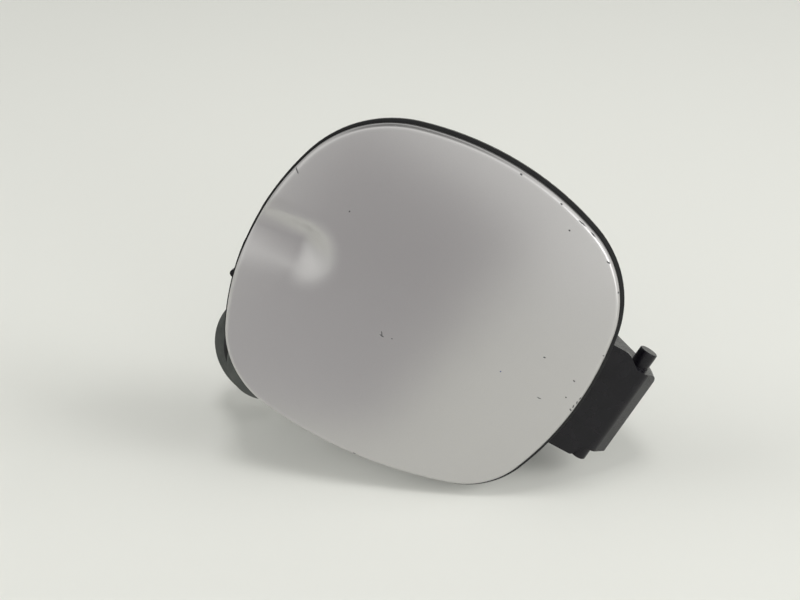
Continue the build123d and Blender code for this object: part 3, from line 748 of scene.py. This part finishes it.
spot = VIEW_RIGHT * PANEL_PLACE[0] + VIEW_SIDE * PANEL_PLACE[1] + TABLE_UP * PANEL_PLACE[2]
panel_centre = FACE_MIDDLE + spot
view_axes = Matrix((VIEW_RIGHT, TABLE_UP, VIEW_SIDE)).transposed().to_4x4()
panel_axes = view_axes @ Matrix.Rotation(-PANEL_LEAN, 4, "Z")
panel_right, panel_up = panel_axes.col[0].xyz, panel_axes.col[1].xyz
half_width, half_height = PANEL_SIZE[0] / 2, PANEL_SIZE[1] / 2
panel_shape = Matrix.Diagonal((half_width, half_height, 1, 1))

panel_mesh = bmesh.new()
bmesh.ops.create_grid(panel_mesh, x_segments=1, y_segments=1, size=1.0,
                      matrix=Matrix.Translation(panel_centre) @ panel_axes @ panel_shape)
panel_data = bpy.data.meshes.new("painted_reflection_panel")
panel_mesh.to_mesh(panel_data)
panel_mesh.free()
painted_reflection_panel = bpy.data.objects.new("painted_reflection_panel", panel_data)
bpy.context.scene.collection.objects.link(painted_reflection_panel)
painted_reflection_panel.visible_camera = False
painted_reflection_panel.visible_diffuse = False
painted_reflection_panel.visible_shadow = False

# %% [markdown]
# The panel glows by itself, so no lamp changes the painted reflection, and its foot is lighter than its top.
# Its sides and its top fade to clear, so no line shows in the paint. The fade is measured along the panel's
# own directions.

# %% Faded edges of the panel
painted_reflection_glow, tree, surface = start_finish("painted_reflection_panel", 1.0)
across = maths(tree, "SUBTRACT", measured_along(tree, "Object", panel_right), panel_centre.dot(panel_right))
upward = maths(tree, "SUBTRACT", measured_along(tree, "Object", panel_up), panel_centre.dot(panel_up))
# The glow set here is a painted reflection: it reaches the silver paint only as a mirrored image.
glow = mixed(tree, ranged(tree, upward, -half_height, half_height, 0, 1), PAINTED_REFLECTION_FOOT, PAINTED_REFLECTION_TOP)
tree.links.new(glow, surface.inputs["Emission Color"])
surface.inputs["Emission Strength"].default_value = 1.0
surface.inputs["Base Color"].default_value = (0, 0, 0, 1)
from_middle = maths(tree, "ABSOLUTE", across, 0)
sideways = ranged(tree, from_middle, half_width - PANEL_FADE, half_width, 1, 0)
to_top = ranged(tree, upward, half_height - PANEL_FADE, half_height, 1, 0)
either = tree.nodes.new("ShaderNodeMixShader")
clear = tree.nodes.new("ShaderNodeBsdfTransparent")
tree.links.new(maths(tree, "MULTIPLY", sideways, to_top), either.inputs["Fac"])
tree.links.new(clear.outputs["BSDF"], either.inputs[1])
tree.links.new(surface.outputs["BSDF"], either.inputs[2])
tree.links.new(either.outputs["Shader"], tree.nodes["Material Output"].inputs["Surface"])
dress(painted_reflection_glow, "painted_reflection_panel")

# %% [markdown]
# The camera stands close to the door and a little above it, and is rolled so that the table is level in the
# picture. Its right is the viewer's right, and with its up and its back it makes up the camera's turn.

# %% Camera
CAMERA_PLACE = Vector((-146.65, -397.24, 162.12))
CAMERA_UP = Vector((-0.47483, 0.32818, 0.81661))
CAMERA_BACK = Vector((-0.08013, -0.94017, 0.33122))
LENS = 40.5
SENSOR = 36.0
CLIP_NEAR = 0.01

camera_data = bpy.data.cameras.new("camera")
camera_data.lens = LENS
camera_data.sensor_width = SENSOR
camera_data.clip_start = CLIP_NEAR
camera = bpy.data.objects.new("camera", camera_data)
turn = Matrix((VIEW_RIGHT, CAMERA_UP, CAMERA_BACK)).transposed()
camera.matrix_world = Matrix.Translation(CAMERA_PLACE * MM) @ turn.to_4x4()
bpy.context.scene.collection.objects.link(camera)
bpy.context.scene.camera = camera
bpy.context.scene.view_settings.view_transform = "Standard"
print("camera:", LENS, "mm lens,", round((CAMERA_PLACE * MM - FACE_MIDDLE).length, 2), "m from the face")

# %% [markdown]
# ## The last update
# The view layer is updated once more, so every object stands at its current place.

# %% Update the view layer
bpy.context.view_layer.update()
